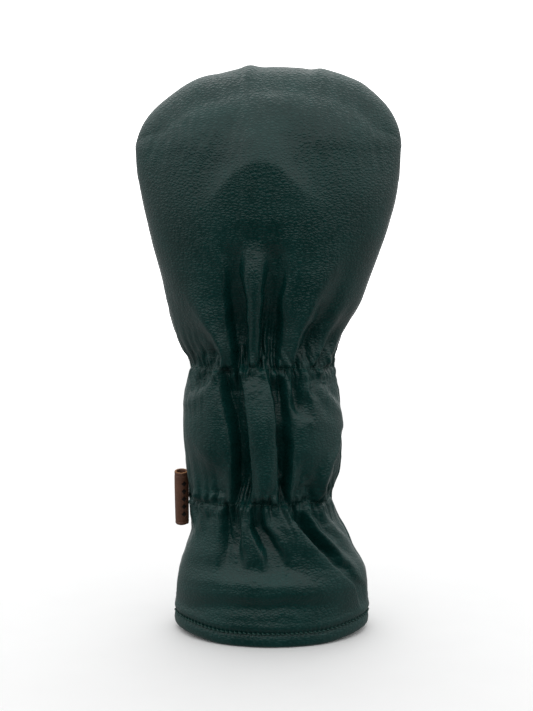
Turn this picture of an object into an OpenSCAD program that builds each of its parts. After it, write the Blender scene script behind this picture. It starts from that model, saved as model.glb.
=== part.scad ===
// Driver head cover: a soft leather bag that pulls over a golf driver's head.
// It stands on its hem with the mouth down. +Z is up, the gathered back faces -Y,
// the plain front faces +Y and the loop tag is on the left side seam, at -X.
// The origin is at the middle of the mouth, on the surface that the hem rests on.

/* [Cover] */
// Height from the hem to the top of the crown
cover_h = 351; // [331:5:371]
// Width of the head at its widest
head_w = 163; // [151:2:171]
// Depth of the stuffed head, front to back
head_d = 96; // [90:2:104]
// Height of the widest line, where the crown's dome begins
head_z = 300; // [290:5:310]
// How far the crown leans to the right
crown_lean = 4; // [0:1:8]
// Width across the two gathers
waist_w = 90; // [86:1:96]
// Depth across the two gathers
waist_d = 76; // [72:1:82]
// Width of the neck between the gathers
neck_w = 99; // [94:1:104]
// Depth of the neck between the gathers
neck_d = 86; // [82:1:90]
// Width of the mouth at the hem
hem_w = 122; // [116:2:130]
// Depth of the mouth at the hem
hem_d = 94; // [90:2:100]
// How far the hem lifts off the ground at the two sides
hem_rise = 3; // [0:1:12]

/* [Walls] */
// Thickness of the shell leather
leather_t = 1.3; // [1.0:0.1:1.6]
// Thickness of the foam behind the head's leather
foam_t = 4.5; // [3:0.5:5]
// Thickness of the fleece lining
lining_t = 1.8; // [1.4:0.2:2.4]
// Height of the edge turned up inside the mouth
hem_turn = 13; // [12:0.5:16]

/* [Gathers] */
// Height of the upper gather at the side seams
upper_z = 167; // [164:1:170]
// Height of the lower gather at the side seams
lower_z = 84; // [82:1:86]
// How far the gather lines arch upwards at the middle of each panel
gather_rise = 2.5; // [0:0.5:5]
// Depth of the gathers' small pleats
pleat_depth = 2.4; // [1.5:0.1:3]
// Height over which the pleats fade, above and below their line
pleat_reach = 12; // [8:1:16]
// Width of the elastic tape
elastic_w = 8; // [6:1:10]
// Thickness of the elastic tape
elastic_t = 1.1; // [0.8:0.1:1.4]

/* [Stitching] */
// Height of the hem's row of stitches
hem_stitch_z = 8.5; // [7:0.5:10]
// Distance from one hem stitch to the next
stitch_pitch = 2.9; // [2.5:0.1:3.5]
// Length of thread that shows in one hem stitch
stitch_len = 2.1; // [1.6:0.1:2.3]
// Diameter of the sewing thread
thread_d = 0.6; // [0.5:0.1:0.8]

/* [Loop tag] */
// Height of the tag along the seam
tag_h = 33; // [28:1:36]
// Height of the tag's middle
tag_z = 83; // [80:1:86]
// Distance from the seam to the outside of the tag's fold
tag_out = 9.5; // [9:0.5:11]
// Outer radius of the tag's fold
tag_r = 3; // [2.6:0.1:3.2]
// Thickness of the tag's leather
tag_t = 1.4; // [1.2:0.1:1.6]

/* [Hidden] */

BACK = -1;              // the side of the cover that faces -Y
FRONT = 1;              // the side that faces +Y
dome_h = cover_h - head_z;
layer_gap = 0.2;        // room between two layers that lie on each other
seam_gap = 1;           // room between the two panels' edges, where the seam's thread lies
foam_z = 180;           // where the foam begins, above the upper gather
foam_edge = 0.6;        // thickness of the foam's skived lower edge
foam_taper = 16;        // height over which that edge is skived
hem_flat = 0.45;        // part of the half width, from the middle, where the hem lies flat
hem_rise_z = 70;        // height at which the hem's rise has faded out

back_columns = 40;      // facets across the back panel, four to a pleat
front_columns = 22;     // facets across the front panel
inner_columns = 18;     // facets across a lining or foam panel

leather_green = "darkslategray";
fleece_black = [0.10, 0.10, 0.11];
foam_grey = [0.55, 0.55, 0.52];
elastic_white = [0.85, 0.85, 0.82];
thread_green = [0.10, 0.26, 0.22];
tag_brown = "sienna";

// ---- The cover's outer form ----
// [height, half width, half depth, sideways shift of the middle]
stations = [
    [0, hem_w / 2, hem_d / 2, 2],
    [24, hem_w / 2 - 0.5, hem_d / 2, 2.5],
    [38, hem_w / 2 - 2.5, hem_d / 2 - 1, 2.5],
    [51, hem_w / 2 - 7.8, hem_d / 2 - 3, 0.7],
    [62, hem_w / 2 - 11.7, hem_d / 2 - 5.5, 0.2],
    [73, waist_w / 2 + 1.5, waist_d / 2 + 1, -3],
    [lower_z, waist_w / 2, waist_d / 2, -4.5],
    [100, neck_w / 2 - 1.5, neck_d / 2 - 2.5, -2.5],
    [130, neck_w / 2, neck_d / 2, -3.5],
    [150, neck_w / 2 - 1, neck_d / 2 - 1.5, -4],
    [upper_z, waist_w / 2, waist_d / 2, -3.5],
    [178, waist_w / 2 + 4, waist_d / 2 + 2, -5.5],
    [190, head_w / 2 - 28, head_d / 2 - 6.5, -5.5],
    [204, head_w / 2 - 22, head_d / 2 - 4.5, -3],
    [222, head_w / 2 - 17, head_d / 2 - 3, -1.5],
    [250, head_w / 2 - 8.5, head_d / 2 - 1.5, 0],
    [275, head_w / 2 - 2.5, head_d / 2 - 0.5, 0],
    [head_z, head_w / 2, head_d / 2, 0]
];
WIDTH = 1;
DEPTH = 2;
SHIFT = 3;
last_station = len(stations) - 1;

// Heights of the rows of facets, the same in every layer so that no two layers cut each other
skirt_levels = [
    20, 32, 44, 55, 64, 72, 78, lower_z, 90, 98, 110, 125, 140, 152, 161,
    upper_z, 173, 180, 188, 196, 208, 224, 250, 275, head_z
];
dome_levels = [for (up = [12 : 12 : 84]) head_z + up];
upper_levels = concat(skirt_levels, dome_levels);

function clamp(t) = min(max(t, 0), 1);
function ease(t) = let (u = clamp(t)) u * u * (3 - 2 * u);

// The station at or below a height
function station_below(z, i = 0) =
    i >= last_station - 1 || stations[i + 1][0] > z ? i : station_below(z, i + 1);

// The slope of a column of stations at station i; level at both ends
function slope(i, col) =
    i == 0 || i == last_station ? 0
    : (stations[i + 1][col] - stations[i - 1][col]) / (stations[i + 1][0] - stations[i - 1][0]);

// A smooth cubic through the stations
function form(z, col) =
    let (
        i = station_below(z),
        h = stations[i + 1][0] - stations[i][0],
        t = (z - stations[i][0]) / h,
        m0 = slope(i, col) * h,
        m1 = slope(i + 1, col) * h
    )
    (2 * pow(t, 3) - 3 * t * t + 1) * stations[i][col] + (pow(t, 3) - 2 * t * t + t) * m0
    + (3 * t * t - 2 * pow(t, 3)) * stations[i + 1][col] + (pow(t, 3) - t * t) * m1;

// A point of the cover. Below head_z, level is a height. Above it, level - head_z is an angle up
// the dome, so head_z + 90 is the crown. angle runs from 0 at the right seam to 180 at the left.
// inset is how far the point lies inside the outer form, and gap half the room at the seam.
function skin(side, level, angle, inset, gap = seam_gap / 2) =
    let (
        skirt = min(level, head_z),
        up = max(level - head_z, 0),
        half_w = (form(skirt, WIDTH) - inset) * cos(up),
        depth = (form(skirt, DEPTH) - inset - gap) * cos(up),
        arch = gather_rise * pow(sin(angle), 2) * sin(180 * skirt / head_z),
        lift = hem_rise * ease((abs(cos(angle)) - hem_flat) / (1 - hem_flat))
            * (1 - ease(skirt / hem_rise_z))
    )
    [
        form(skirt, SHIFT) + crown_lean * sin(up) + half_w * cos(angle),
        side * (gap + depth * sin(angle)),
        skirt + arch + lift + (dome_h - inset) * sin(up)
    ];

// ---- Shells: a panel of the cover between two surfaces ----
// outer and inner are grids of insets, one list of columns for every level
function shell_points(side, levels, outer, inner) =
    let (last = len(levels) - 1, columns = len(outer[0]) - 1)
    concat(
        [
            for (grid = [outer, inner]) for (i = [0 : last]) for (j = [0 : columns])
                skin(side, levels[i], 180 * j / columns, grid[i][j])
        ],
        [skin(side, head_z + 90, 90, outer[last][0]), skin(side, head_z + 90, 90, inner[last][0])]
    );

function quad(a, b, c, d, flip) = flip ? [[a, c, b], [a, d, c]] : [[a, b, c], [a, c, d]];
function tri(a, b, c, flip) = flip ? [a, c, b] : [a, b, c];

function shell_faces(rows, columns, front) =
    let (
        w = columns + 1,
        inner = rows * w,
        crown_out = 2 * rows * w,
        crown_in = crown_out + 1,
        top = (rows - 1) * w
    )
    concat(
        [for (i = [0 : rows - 2]) for (j = [0 : columns - 1])
            each quad(i * w + j, (i + 1) * w + j, (i + 1) * w + j + 1, i * w + j + 1, !front)],
        [for (i = [0 : rows - 2]) for (j = [0 : columns - 1])
            each quad(inner + i * w + j, inner + (i + 1) * w + j,
                inner + (i + 1) * w + j + 1, inner + i * w + j + 1, front)],
        [for (j = [0 : columns - 1]) each quad(j, j + 1, inner + j + 1, inner + j, !front)],
        [for (i = [0 : rows - 2])
            each quad(i * w, inner + i * w, inner + (i + 1) * w, (i + 1) * w, !front)],
        [for (i = [0 : rows - 2])
            each quad(i * w + columns, inner + i * w + columns,
                inner + (i + 1) * w + columns, (i + 1) * w + columns, front)],
        [for (j = [0 : columns - 1]) tri(top + j, crown_out, top + j + 1, !front)],
        [for (j = [0 : columns - 1]) tri(inner + top + j, crown_in, inner + top + j + 1, front)],
        quad(top, inner + top, crown_in, crown_out, !front),
        quad(top + columns, inner + top + columns, crown_in, crown_out, front)
    );

module shell(side, levels, outer, inner) {
    polyhedron(
        points = shell_points(side, levels, outer, inner),
        faces = shell_faces(len(levels), len(outer[0]) - 1, side == FRONT),
        convexity = 10
    );
}

// A grid whose insets are the same across each level
function plain(insets, columns) = [for (inset = insets) [for (j = [0 : columns]) inset]];

// ---- Leather panels ----
// The bottom edge is turned up inside the mouth, so the wall is double there
panel_levels = concat([0, 3, hem_stitch_z, hem_turn, hem_turn + 1], upper_levels);
edge_round = 0.6;       // how far the hem's outer edge is rounded in
double_t = 2 * leather_t + layer_gap;
panel_outer = [for (level = panel_levels) level == 0 ? edge_round : 0];
panel_inner = [for (level = panel_levels) level <= hem_turn ? double_t : leather_t];

// How deep the pleats are at a level; they only reach inwards from the form
function pleats(level) =
    pleat_depth * (exp(-abs(level - upper_z) / pleat_reach) + exp(-abs(level - lower_z) / pleat_reach));
// 0 on a pleat's ridge and 1 in its valley, at column j of the back panel
function pleat_shape(j) = [0, 0.5, 1, 0.5][j % 4];
function pleated(insets) = [
    for (i = [0 : len(insets) - 1]) [
        for (j = [0 : back_columns])
            insets[i] + (panel_levels[i] > hem_turn + 1 ? pleats(panel_levels[i]) * pleat_shape(j) : 0)
    ]
];

module back_panel() {
    color(leather_green) shell(BACK, panel_levels, pleated(panel_outer), pleated(panel_inner));
}

module front_panel() {
    color(leather_green)
        shell(FRONT, panel_levels, plain(panel_outer, front_columns), plain(panel_inner, front_columns));
}

// ---- Foam behind the head's leather ----
foam_levels = [for (level = upper_levels) if (level >= foam_z) level];
foam_inset = leather_t + 2 * layer_gap;
function foam_start(side, level) = foam_inset + (side == BACK ? pleats(level) : 0);
function foam_end(level) =
    foam_inset + foam_edge + (foam_t - foam_edge) * clamp((level - foam_z) / foam_taper);

module foam_panel(side) {
    starts = [for (level = foam_levels) foam_start(side, level)];
    ends = [for (i = [0 : len(foam_levels) - 1]) max(foam_end(foam_levels[i]), starts[i] + foam_edge)];
    color(foam_grey)
        shell(side, foam_levels, plain(starts, inner_columns), plain(ends, inner_columns));
}

// ---- Fleece lining, sewn to the turned edge at its foot ----
lining_foot = hem_turn + 3;
lining_levels = concat([lining_foot], upper_levels);
lining_inset = foam_inset + foam_t + layer_gap;
lining_foot_inset = double_t + layer_gap;
lining_spread = 24;     // height over which the lining moves in from the hem
function lining_outer(level) =
    lining_foot_inset + (lining_inset - lining_foot_inset) * clamp((level - lining_foot) / lining_spread);

module lining_panel(side) {
    outer = [for (level = lining_levels) lining_outer(level)];
    inner = [for (inset = outer) inset + lining_t];
    color(fleece_black)
        shell(side, lining_levels, plain(outer, inner_columns), plain(inner, inner_columns));
}

// ---- Elastic tapes, sewn behind the pleats from seam to seam ----
elastic_inset = leather_t + pleat_depth + 2 * layer_gap;

module elastic_tape(level) {
    w = inner_columns + 1;
    half = elastic_w / 2;
    back = elastic_inset + elastic_t;
    // the tape's section as [height from the level, inset], with a middle row so that it bends
    // with the leather
    section = [
        [-half, elastic_inset], [0, elastic_inset], [half, elastic_inset],
        [half, back], [0, back], [-half, back]
    ];
    n = len(section);
    points = [
        for (c = section) for (j = [0 : inner_columns]) skin(BACK, level + c[0], 180 * j / inner_columns, c[1])
    ];
    sides = [
        for (k = [0 : n - 1]) for (j = [0 : inner_columns - 1])
            each quad(k * w + j, (k + 1) % n * w + j, (k + 1) % n * w + j + 1, k * w + j + 1, true)
    ];
    ends = concat(
        quad(0, w, 4 * w, 5 * w, false),
        quad(w, 2 * w, 3 * w, 4 * w, false),
        quad(w - 1, 2 * w - 1, 5 * w - 1, 6 * w - 1, true),
        quad(2 * w - 1, 3 * w - 1, 4 * w - 1, 5 * w - 1, true)
    );
    color(elastic_white) polyhedron(points, concat(sides, ends), convexity = 6);
}

// ---- Stitches ----
stitch_inset = -thread_d / 2 - 0.1;     // the thread lies just clear of the leather

// One stitch is a short straight length of thread from p to q
module stitch(p, q) {
    d = q - p;
    translate((p + q) / 2)
        rotate([0, acos(d[2] / norm(d)), atan2(d[1], d[0])])
            cylinder(d = thread_d, h = norm(d), center = true, $fn = 6);
}

// Angles of the hem's stitches, one pitch apart along the panel
first_angle = 1.5;
function stitch_angles(angle = first_angle) =
    angle > 180 - 2 * first_angle ? []
    : let (step = norm(skin(BACK, hem_stitch_z, angle + 1, 0) - skin(BACK, hem_stitch_z, angle, 0)))
    concat([angle], stitch_angles(angle + stitch_pitch / step));

module hem_row(side) {
    for (angle = stitch_angles()) {
        p = skin(side, hem_stitch_z, angle, stitch_inset);
        along = skin(side, hem_stitch_z, angle + 0.5, stitch_inset) - p;
        stitch(p, p + stitch_len * along / norm(along));
    }
}

// A gather has one stitch in the middle of each facet of the pleats
stitch_part = 0.7;      // part of the facet that the stitch covers
module gather_row(level) {
    for (j = [0 : back_columns - 1]) {
        a = skin(BACK, level, 180 * j / back_columns, stitch_inset + pleat_inset(level, j));
        b = skin(BACK, level, 180 * (j + 1) / back_columns, stitch_inset + pleat_inset(level, j + 1));
        margin = (b - a) * (1 - stitch_part) / 2;
        stitch(a + margin, b - margin);
    }
}
function pleat_inset(level, j) = pleats(level) * pleat_shape(j);

// ---- Seam threads, one run from the hem over the crown to the hem ----
// Points down the middle of the seam: up the right side and down the left
function seam_route(levels, insets) =
    let (last = len(levels) - 1)
    concat(
        [for (i = [0 : last]) skin(FRONT, levels[i], 0, insets[i], 0)],
        [skin(FRONT, head_z + 90, 0, insets[last], 0)],
        [for (i = [last : -1 : 0]) skin(FRONT, levels[i], 180, insets[i], 0)]
    );

module seam_run(route, sides = 6) {
    last = len(route) - 1;
    rings = [
        for (i = [0 : last])
            let (
                d = route[min(i + 1, last)] - route[max(i - 1, 0)],
                out = [d[2], 0, -d[0]] / norm(d)
            )
            for (k = [0 : sides - 1])
                route[i] + thread_d / 2 * (cos(360 * k / sides) * out + sin(360 * k / sides) * [0, 1, 0])
    ];
    walls = [
        for (i = [0 : last - 1]) for (k = [0 : sides - 1])
            each quad(i * sides + k, i * sides + (k + 1) % sides,
                (i + 1) * sides + (k + 1) % sides, (i + 1) * sides + k, true)
    ];
    ends = [[for (k = [0 : sides - 1]) k], [for (k = [sides - 1 : -1 : 0]) last * sides + k]];
    polyhedron(rings, concat(walls, ends), convexity = 10);
}

shell_thread_levels = concat([2, 8, 14], upper_levels);
lining_thread_levels = concat([lining_foot + 1], upper_levels);

// ---- Loop tag: a strip folded in two, hanging out of the left seam ----
seam_x = form(tag_z, SHIFT) - form(tag_z, WIDTH);
tag_axis_x = seam_x - 1.8;      // the line that the tag swings about
root_x = -1.2;                  // where the two leaves begin, from that line
root_half = tag_t + 0.1;        // half the thickness of the two leaves together
fold_x = seam_x - tag_out + tag_r - tag_axis_x;

// The point where a line from the root touches a circle about the fold
function touch(radius, half) =
    let (
        dx = root_x - fold_x,
        turn = atan2(half, dx) + acos(radius / norm([dx, half]))
    )
    [fold_x + radius * cos(turn), radius * sin(turn)];

module drop(radius, half) {
    top = touch(radius, half);
    translate([fold_x, 0]) circle(r = radius, $fn = 48);
    polygon([[root_x, half], top, [fold_x, 0], [top[0], -top[1]], [root_x, -half]]);
}

module loop_tag() {
    color(tag_brown)
        translate([tag_axis_x, 0, tag_z - tag_h / 2])
            linear_extrude(tag_h)
                difference() {
                    drop(tag_r, root_half);
                    drop(tag_r - tag_t, root_half - tag_t);
                }
}

back_panel();
front_panel();
foam_panel(BACK);  // back_foam
foam_panel(FRONT);  // front_foam
lining_panel(BACK);  // back_lining
lining_panel(FRONT);  // front_lining
elastic_tape(upper_z);  // upper_elastic
elastic_tape(lower_z);  // lower_elastic
color(thread_green) {  // hem_thread
    hem_row(BACK);
    hem_row(FRONT);
}
color(thread_green) gather_row(upper_z);  // upper_gather_thread
color(thread_green) gather_row(lower_z);  // lower_gather_thread
color(thread_green)  // side_seam_thread
    seam_run(seam_route(shell_thread_levels, [for (l = shell_thread_levels) leather_t / 2]));
color(thread_green)  // lining_seam_thread
    seam_run(seam_route(lining_thread_levels,
        [for (l = lining_thread_levels) lining_outer(l) + lining_t / 2]));
loop_tag();
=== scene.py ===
"""Driver head cover: leather shell, foam, lining, elastic, stitching and a loop tag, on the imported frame.

All sizes below are in millimetres until a mesh is made. Angles run from 0 at the right side
seam, over the panel, to 180 at the left side seam. Levels are heights above the hem.
"""
import math

import bpy
import numpy as np
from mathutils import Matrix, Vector


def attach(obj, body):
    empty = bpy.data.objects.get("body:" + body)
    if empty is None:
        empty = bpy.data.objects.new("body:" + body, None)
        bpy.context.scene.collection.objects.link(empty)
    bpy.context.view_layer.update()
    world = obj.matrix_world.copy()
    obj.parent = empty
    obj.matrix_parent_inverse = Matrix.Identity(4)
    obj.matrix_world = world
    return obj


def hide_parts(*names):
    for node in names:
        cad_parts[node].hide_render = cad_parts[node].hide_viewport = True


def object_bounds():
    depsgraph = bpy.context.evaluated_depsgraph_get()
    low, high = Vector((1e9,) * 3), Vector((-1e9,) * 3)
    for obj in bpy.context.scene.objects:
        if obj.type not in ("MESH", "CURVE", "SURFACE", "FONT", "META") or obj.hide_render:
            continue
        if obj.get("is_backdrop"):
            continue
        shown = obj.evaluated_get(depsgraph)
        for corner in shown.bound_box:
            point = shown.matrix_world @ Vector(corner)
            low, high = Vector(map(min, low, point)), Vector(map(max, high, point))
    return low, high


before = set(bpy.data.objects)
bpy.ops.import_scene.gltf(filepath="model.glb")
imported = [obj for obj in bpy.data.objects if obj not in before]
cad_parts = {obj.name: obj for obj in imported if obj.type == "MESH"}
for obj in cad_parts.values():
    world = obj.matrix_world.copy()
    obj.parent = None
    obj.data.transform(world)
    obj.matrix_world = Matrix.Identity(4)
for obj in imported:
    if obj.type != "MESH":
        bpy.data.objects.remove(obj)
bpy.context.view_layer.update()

MM = 0.001
ROOT, TAG_BODY = "cover", "tag"  # the frame's two bodies

# ---- sizes, as in the part
BACK, FRONT = -1, 1  # the gathered side faces -Y, the plain one +Y
names = {BACK: "back", FRONT: "front"}
HEAD_Z, DOME_H, CROWN_LEAN = 300.0, 51.0, 4.0  # widest line, dome above it, the crown's shift to +X
UPPER_Z, LOWER_Z, GATHER_RISE = 167.0, 84.0, 2.5  # the two gathers, and how far they arch up
HEM_RISE, HEM_FLAT, HEM_RISE_Z = 3.0, 0.45, 70.0  # the hem's lift at the sides, its flat part, its end
HEM_TURN, HEM_STITCH_Z = 13.0, 8.5
LEATHER_T, FOAM_T, LINING_T, LAYER_GAP = 1.3, 4.5, 1.8, 0.2
FOAM_Z, FOAM_EDGE, FOAM_TAPER = 180.0, 0.6, 16.0  # the foam's lower edge, its thickness there, its taper
LINING_FOOT, LINING_SPREAD = HEM_TURN + 3, 24.0  # the lining's lower edge, and where it leaves the hem
ELASTIC_T, ELASTIC_W = 1.1, 8.0
STITCH_PITCH, GATHER_PITCH = 2.9, 2.7
SEAM_GAP, SEAM_ROLL = 0.15, 1.5  # half the gap between the panels, the edges' radius

WIDTH, DEPTH, SHIFT = 1, 2, 3  # the columns of the stations
# height, half width, half depth, sideways shift of the middle
STATIONS = np.array([
    [0, 61, 47, 2], [24, 60.5, 47, 2.5], [38, 58.5, 46, 2.5], [51, 53.2, 44, 0.7],
    [62, 49.3, 41.5, 0.2], [73, 46.5, 39, -3], [84, 45, 38, -4.5], [100, 48, 40.5, -2.5],
    [130, 49.5, 43, -3.5], [150, 48.5, 41.5, -4], [167, 45, 38, -3.5], [178, 49, 40, -5.5],
    [190, 53.5, 41.5, -5.5], [204, 59.5, 43.5, -3], [222, 64.5, 45, -1.5], [250, 73, 46.5, 0],
    [275, 79, 47.5, 0], [300, 81.5, 48, 0],
], float)


# ---- helpers
def ease(t):
    t = np.clip(t, 0, 1)
    return t * t * (3 - 2 * t)


def form(z, col):
    """The cover's half WIDTH, half DEPTH or SHIFT at heights z."""
    zs, v = STATIONS[:, 0], STATIONS[:, col]
    m = np.zeros(len(zs))
    m[1:-1] = (v[2:] - v[:-2]) / (zs[2:] - zs[:-2])
    i = np.clip(np.searchsorted(zs, z, side="right") - 1, 0, len(zs) - 2)
    h = zs[i + 1] - zs[i]
    t = (z - zs[i]) / h
    return ((2 * t**3 - 3 * t**2 + 1) * v[i] + (t**3 - 2 * t**2 + t) * m[i] * h
            + (3 * t**2 - 2 * t**3) * v[i + 1] + (t**3 - t**2) * m[i + 1] * h)


def evened(at, line, steps):
    """A line's height at some places, as the mean over steps to either side."""
    return sum(np.interp(at + k, line[:, 0], line[:, 1]) for k in steps) / len(steps)


# How the leather's seam lifts or dips along the crown, as (x, how much higher), and over how far
# to each side that is evened out
CROWN_BLUR = 2.4
CROWN_LINE = np.array([
    (-82, 0), (-68, -0.2), (-60, 0), (-50, 1.1), (-42, 1.3), (-36, 0.7), (-30, -0.3), (-20, 0), (-15, 0.5),
    (-11.4, 1.5), (-8, 0.1), (-4, -1.0), (10, -0.9), (20, -0.7), (26.5, -0.9), (31, 1.2), (38, 1.1),
    (50, 1.6), (57, 2.3), (63, 1.6), (69, 1.2), (75, 1.0), (82, 0),
], float)


def base(side, row, angle, gap):
    """Points of the plain outer form. row is a level up to HEAD_Z, and past it an angle up to the
    crown's seam at HEAD_Z + 90."""
    skirt = np.minimum(row, HEAD_Z)
    up = np.radians(np.maximum(row - HEAD_Z, 0))
    a = np.radians(angle)
    across, out = np.cos(a), np.sin(a)
    arch = GATHER_RISE * out**2 * np.sin(np.pi * skirt / HEAD_Z)
    lift = HEM_RISE * ease((np.abs(across) - HEM_FLAT) / (1 - HEM_FLAT)) * (1 - ease(skirt / HEM_RISE_Z))
    rise = out * np.sin(up)
    x = form(skirt, SHIFT) + CROWN_LEAN * rise + form(skirt, WIDTH) * across
    y = side * (gap + (form(skirt, DEPTH) - gap) * out * np.cos(up))
    trim = evened(x, CROWN_LINE, CROWN_BLUR * np.linspace(-1, 1, 5)) * np.sin(up) ** 3
    return np.stack([x, y, skirt + arch + lift + DOME_H * rise + trim], axis=-1)


def normals(p, side):
    """Outward unit normals of a grid of points, by differences between neighbours."""
    n = np.cross(np.gradient(p, axis=1), np.gradient(p, axis=0)) * side
    long = np.linalg.norm(n, axis=-1, keepdims=True)
    return np.where(long > 1e-9, n / np.maximum(long, 1e-9), np.array([1.0, 0, 0]) * np.sign(p[..., :1]))


def spread(a, b, density):
    """Places from a to b, closer together where density(place), in steps per mm, is higher."""
    fine = np.linspace(a, b, 4001)
    total = np.concatenate([[0], np.cumsum(0.5 * (density(fine[1:]) + density(fine[:-1])) * np.diff(fine))])
    return np.interp(np.linspace(0, total[-1], max(3, int(round(total[-1])) + 1)), total, fine)


def noise1(s, seed, octaves=1):
    """Smooth random signal of s with a period of about 1, from -1 to 1."""
    rng = np.random.RandomState(seed)
    table = rng.uniform(-1, 1, 512)
    total = np.zeros_like(s)
    for o in range(octaves):
        t = s * 2**o + 17.3 * o
        i = np.floor(t).astype(int)
        f = t - i
        f = f * f * (3 - 2 * f)
        total += (table[i % 512] * (1 - f) + table[(i + 1) % 512] * f) / 2**o
    return total


def noise2(x, z, seed, octaves=2):
    """Smooth random field of x and z with a period of about 1."""
    rng = np.random.RandomState(seed)
    table = rng.uniform(-1, 1, (64, 64))
    total = np.zeros_like(x)
    for o in range(octaves):
        a, b = x * 2**o + 9.1 * o, z * 2**o + 4.7 * o
        i, j = np.floor(a).astype(int), np.floor(b).astype(int)
        f, g = a - i, b - j
        f, g = f * f * (3 - 2 * f), g * g * (3 - 2 * g)
        v = lambda di, dj: table[(i + di) % 64, (j + dj) % 64]
        total += ((v(0, 0) * (1 - f) + v(1, 0) * f) * (1 - g) + (v(0, 1) * (1 - f) + v(1, 1) * f) * g) / 2**o
    return total


def stroke(x, z, points):
    """The height, over the places x, z, of a ridge or valley that follows points of
    (x, z, height, half width on its left, half width on its right). Where it runs more level than
    upright, those are its half widths below and above. One half width alone is for both sides."""
    pts = np.array(points, float)
    best = np.full(x.shape, np.inf)
    out = np.zeros_like(x)
    for a, b in zip(pts[:-1], pts[1:]):
        dx, dz = b[0] - a[0], b[1] - a[1]
        t = np.clip(((x - a[0]) * dx + (z - a[1]) * dz) / (dx * dx + dz * dz), 0, 1)
        ex, ez = x - a[0] - t * dx, z - a[1] - t * dz
        far = np.hypot(ex, ez)
        v = a[2:] + t[..., None] * (b[2:] - a[2:])
        facing = np.sign(dz) if abs(dz) > abs(dx) else -np.sign(dx)
        on_left = (dx * ez - dz * ex) * facing > 0
        q = far / np.where(on_left, v[..., 1], v[..., -1])
        near = far < best
        best = np.where(near, far, best)
        out = np.where(near, v[..., 0] * np.exp(-(q**2)), out)
    return out


def neighbours(d, n, axis):
    """d as it is seen from each of the n rows (axis 0) or columns (axis 1) to either side."""
    pad = [(0, 0), (0, 0)]
    pad[axis] = (n, n)
    wide = np.pad(d, pad, mode="edge")
    return [np.take(wide, range(k, k + d.shape[axis]), axis) for k in range(2 * n + 1)]


def blurred(d, n):
    """d smoothed over n rows and columns each way."""
    weights = np.exp(-0.5 * (np.arange(-2 * n, 2 * n + 1) / n) ** 2)
    weights /= weights.sum()
    for axis in (0, 1):
        d = sum(w * near for w, near in zip(weights, neighbours(d, 2 * n, axis)))
    return d


def lowest(d, n):
    """The lowest value of d within n rows and columns each way."""
    for axis in (0, 1):
        d = np.min(neighbours(d, n, axis), axis=0)
    return d


# ---- the folds of the back panel
# The stuffed head's profile from side to side of the hollow: height z, how far it stands out
HEAD_PROFILE = np.array([
    (150, 0), (190, 0.3), (215, 1.7), (235, 2.8), (248, 3.0), (260, 2.3), (275, 0.3), (288, -2.2),
    (300, -4.6), (312, -6.3), (324, -7.3), (336, -7.8), (346, -8.0), (356, -8.0),
], float)
# The line where the head's stuffing ends over the hollow: (x, z)
BROW_LINE = np.array([
    (-90, 268), (-50, 268), (-34, 271), (-24, 283), (-16, 290), (-6, 293), (2, 291.5), (10, 286), (20, 275),
    (32, 267), (50, 262), (90, 262),
], float)
# Below that line the leather stands out this far, and above it, it leans back: how far in all, how soon
HOLLOW_OUT, BROW_DROP, BROW_REACH = 2.8, 10.8, 38.0
HOLLOW_X, HOLLOW_HALF_W = -5.0, 31.0
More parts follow.
